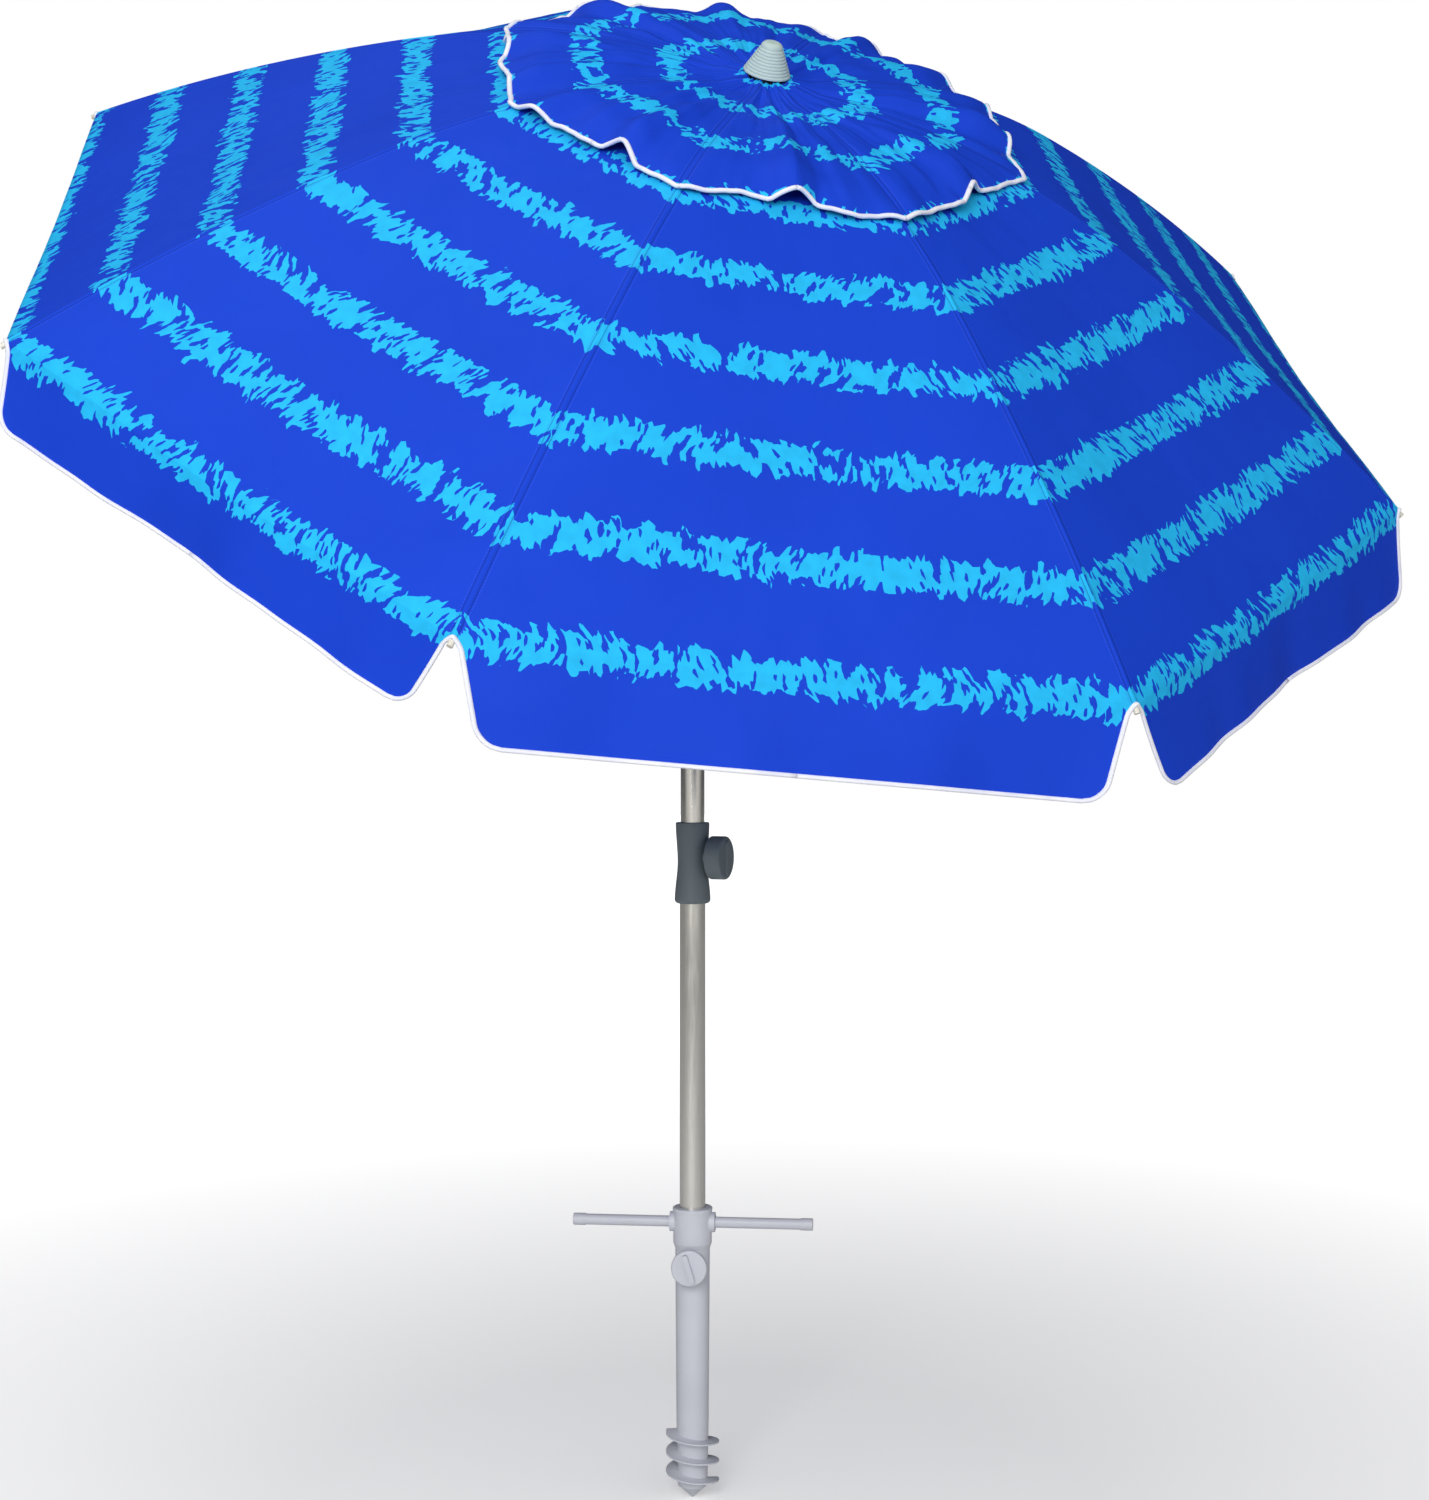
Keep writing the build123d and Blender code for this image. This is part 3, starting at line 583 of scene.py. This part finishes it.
def tape(name):
    """White bias tape: a ribbed weave across its length, and random lavender patches, partly the tape's own tint
    and partly painted shade.
    """
    mat, tree, shader = material(name)
    n = Nodes(tree)
    where = n.object_coords()
    weave = n.noise(where, 700.0, 2.0)
    # random lavender patches, partly the tape's own tint and partly painted shade
    lavender_and_shade = n.noise(where, 30.0, 3.0)
    colour = n.mix(n.remap(lavender_and_shade, 0.35, 0.7), (0.86, 0.87, 0.93), (0.74, 0.76, 0.90))
    tree.links.new(colour, shader.inputs["Base Color"])
    tree.links.new(n.bump(weave, 0.3, 0.0005), shader.inputs["Normal"])
    tree.links.new(n.remap(weave, 0.3, 0.7, 0.7, 0.85), shader.inputs["Roughness"])
    shader.inputs["Sheen Weight"].default_value = 0.1
    return mat


BLUE, DEEP, CYAN = (0.0085, 0.056, 0.62), (0.0075, 0.050, 0.57), (0.020, 0.50, 0.92)
cloth = canopy_cloth("canopy_cloth", BLUE, DEEP, CYAN, 0.0, 1.0)
vent_cloth = canopy_cloth("vent_cloth", BLUE, DEEP, CYAN, VENT_STRIPE_SHIFT, 1.0)
INNER_BLUE, INNER_DEEP, INNER_CYAN = (0.010, 0.050, 0.46), (0.008, 0.040, 0.40), (0.03, 0.34, 0.62)
reverse = canopy_cloth("cloth_reverse", INNER_BLUE, INNER_DEEP, INNER_CYAN, 0.0, 0.75)
white_tape = tape("white_tape")
ALONG_TUBE, EVENLY = (1, 1, 0.02), (1, 1, 1)
METALS = (
    ("pole_metal", (0.90, 0.88, 0.82), (0.76, 0.74, 0.68), 0.19, ALONG_TUBE),
    ("rib_rod", (0.80, 0.81, 0.82), (0.62, 0.63, 0.65), 0.36, EVENLY),
    ("zinc", (0.66, 0.67, 0.69), (0.52, 0.53, 0.56), 0.33, EVENLY),
)
PLASTICS = (
    ("white_plastic", (0.66, 0.675, 0.74), (0.60, 0.615, 0.68), 0.40, 420.0),
    ("grey_plastic", (0.185, 0.225, 0.245), (0.150, 0.185, 0.205), 0.46, 520.0),
    ("finial_plastic", (0.50, 0.63, 0.60), (0.42, 0.54, 0.52), 0.50, 480.0),
    ("frame_plastic", (0.070, 0.075, 0.080), (0.045, 0.048, 0.052), 0.48, 500.0),
    ("bead_plastic", (0.78, 0.76, 0.68), (0.68, 0.66, 0.58), 0.35, 400.0),
)
finishes = {row[0]: drawn_metal(*row) for row in METALS}
finishes.update({row[0]: plastic(*row) for row in PLASTICS})
slot_of = {s["node"]: s["material_slot"] for s in frame["record"]["subparts"]}
for node, part in frame["nodes"].items():
    finish = finishes.get(slot_of.get(node), finishes["frame_plastic"])
    if part.material_slots:
        for slot in part.material_slots:
            slot.material = finish
    else:
        part.data.materials.append(finish)


# ---------------------------------------------------------------- canopy pieces
def spaced(low, high, count):
    return [low + (high - low) * (s / count) for s in range(count + 1)]


def thicken(piece):
    shell = piece.modifiers.new("cloth", "SOLIDIFY")
    shell.thickness = CLOTH
    shell.offset = -1
    shell.material_offset = 1
    rims = piece.modifiers.new("rims", "EDGE_SPLIT")
    rims.split_angle = math.radians(70)
    return apply_modifiers(piece)


def facing_out(sheet, i):
    """True if the sheet's faces look away from the shade."""
    face = sheet.faces[len(sheet.faces) // 4]
    a, b, c = (sheet.points[j] for j in face[:3])
    return (b - a).cross(c - b).dot(up) > 0


def hang_on_rib(piece, i):
    """The piece rides on rib i."""
    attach(piece, f"rib_{i + 1}")
    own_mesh(piece)


def gore_strips(low, high):
    """(slant length, middle radius) of the narrow strips that make a gore between two radii."""
    cuts = spaced(low, high, 60)
    for a, b in zip(cuts, cuts[1:]):
        yield math.hypot((b - a) * math.cos(SPREAD), fall(b) - fall(a)), (a + b) / 2


def gore_area(low, high):
    return sum(length * chord(middle) for length, middle in gore_strips(low, high))


def slant(low, high):
    return sum(length for length, middle in gore_strips(low, high))


flap_area = FLAP_DROP * (chord(CANOPY_R) - 2 * FLAP_NOTCH - FLAP_INSET)
for i in range(RIBS):
    # main cloth and the two half flaps beside this rib
    sheet = Sheet()
    for k in (i - 1, i):
        flip = k == i
        sheet.grid(gore_rows(i, k % RIBS, spaced(HOLE_R, CANOPY_R, ROWS), main_point), flip)
        sheet.grid(flap_rows(i, k % RIBS), flip)
    panel = new_mesh(f"panel_{i + 1}", sheet.points, sheet.faces, sheet.uvs, sheet.seams, [cloth, reverse])
    if not facing_out(sheet, i):
        panel.data.flip_normals()
    thicken(panel)
    edges = piping(f"piping_{i + 1}", [flap_edge(i, k % RIBS) for k in (i - 1, i)], PIPE_R, 0.75, white_tape)
    # vent cover
    sheet = Sheet()
    for k in (i - 1, i):
        sheet.grid(gore_rows(i, k % RIBS, spaced(VENT_LOW_R, VENT_HIGH_R, ROWS // 2), vent_point), k == i)
    vent = new_mesh(f"vent_{i + 1}", sheet.points, sheet.faces, sheet.uvs, sheet.seams,
                    [vent_cloth, reverse])
    if not facing_out(sheet, i):
        vent.data.flip_normals()
    thicken(vent)
    rims = [[vent_point(k % RIBS, share_of(k % RIBS, i, d, VENT_HIGH_R), VENT_HIGH_R)
             for d in columns(chord(VENT_HIGH_R) / 2)] for k in (i - 1, i)]
    rim = piping(f"vent_piping_{i + 1}", rims, PIPE_R * 1.15, 0.8, white_tape)
    for piece in (panel, edges, vent, rim):
        hang_on_rib(piece, i)
    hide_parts(f"canopy_{i + 1}")
    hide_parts(f"canopy_{i + 1}")
    panel_area = gore_area(HOLE_R, CANOPY_R) + flap_area
    slant(HOLE_R, CANOPY_R) + FLAP_DROP
    slant(VENT_LOW_R, VENT_HIGH_R)
    gore_area(VENT_LOW_R, VENT_HIGH_R)

# ---------------------------------------------------------------- floor, light and camera
CAMERA_TURN = math.radians(-17.54)
CAMERA_FAR = 2.974
CAMERA_HIGH = 1.107
CAMERA_ASIDE = 0.0325
toward = Vector((math.sin(CAMERA_TURN), -math.cos(CAMERA_TURN), 0))
right = Vector((math.cos(CAMERA_TURN), math.sin(CAMERA_TURN), 0))

FLOOR_REACH = 30
corners = [(x * FLOOR_REACH, y * FLOOR_REACH, 0) for x, y in ((-1, -1), (1, -1), (1, 1), (-1, 1))]
floor_mesh = bpy.data.meshes.new("floor")
floor_mesh.from_pydata(corners, [], [(0, 1, 2, 3)])
floor = bpy.data.objects.new("floor", floor_mesh)
bpy.context.scene.collection.objects.link(floor)
floor_mat, floor_tree, floor_shader = material("floor")
floor_shader.inputs["Base Color"].default_value = (0.90, 0.90, 0.91, 1)
floor_shader.inputs["Roughness"].default_value = 0.9
floor_shader.inputs["Specular IOR Level"].default_value = 0.1
# seen directly, the floor pales with distance and meets the white backdrop without an edge
n = Nodes(floor_tree)
reach = floor_tree.nodes.new("ShaderNodeVectorMath")
reach.operation = "LENGTH"
floor_tree.links.new(n.object_coords(), reach.inputs[0])
floor_shader.inputs["Emission Color"].default_value = (1, 1, 1, 1)
pale = n.remap(reach.outputs["Value"], 0.6, 4.5, 0.35, 1.0)
seen = floor_tree.nodes.new("ShaderNodeLightPath").outputs["Is Camera Ray"]
floor_tree.links.new(n.math("MULTIPLY", pale, seen), floor_shader.inputs["Emission Strength"])
floor_mesh.materials.append(floor_mat)

world = bpy.data.worlds.new("studio")
bpy.context.scene.world = world
world.use_nodes = True
tree = world.node_tree
n = Nodes(tree)
background = tree.nodes["Background"]
bright_side = (toward * 0.97 + right * 0.12 + Vector((0, 0, 0.10))).normalized()
facing = tree.nodes.new("ShaderNodeVectorMath")
facing.operation = "DOT_PRODUCT"
tree.links.new(tree.nodes.new("ShaderNodeTexCoord").outputs["Generated"], facing.inputs[0])
facing.inputs[1].default_value = bright_side
DIM_SIDE, LIT_SIDE = (0.035, 0.037, 0.046), (1.22, 1.21, 1.18)
room = n.mix(n.remap(facing.outputs["Value"], 0.05, 0.97), DIM_SIDE, LIT_SIDE)
seen = tree.nodes.new("ShaderNodeLightPath").outputs["Is Camera Ray"]
tree.links.new(n.mix(seen, room, (1.0, 1.0, 1.0)), background.inputs["Color"])
background.inputs["Strength"].default_value = 1.0


def soft_light(name, place, size, power, look_at=Vector((0, 0, 1.4))):
    data = bpy.data.lights.new(name, "AREA")
    data.shape = "DISK"
    data.size = size
    data.energy = power
    lamp = bpy.data.objects.new(name, data)
    lamp.location = place
    lamp.rotation_euler = (look_at - place).to_track_quat("-Z", "Y").to_euler()
    bpy.context.scene.collection.objects.link(lamp)


soft_light("key", toward * 3.7 - right * 0.7 + Vector((0, 0, 2.2)), 1.8, 55)
soft_light("top", toward * 0.5 - right * 1.4 + Vector((0, 0, 4.6)), 2.4, 20)

camera_data = bpy.data.cameras.new("camera")
camera_data.sensor_width = 36
camera_data.lens = 48.15
camera = bpy.data.objects.new("camera", camera_data)
camera.location = toward * CAMERA_FAR + right * CAMERA_ASIDE + Vector((0, 0, CAMERA_HIGH))
camera.rotation_euler = (math.radians(90), 0, CAMERA_TURN)
bpy.context.scene.collection.objects.link(camera)
bpy.context.scene.camera = camera
bpy.context.scene.view_settings.view_transform = "Standard"
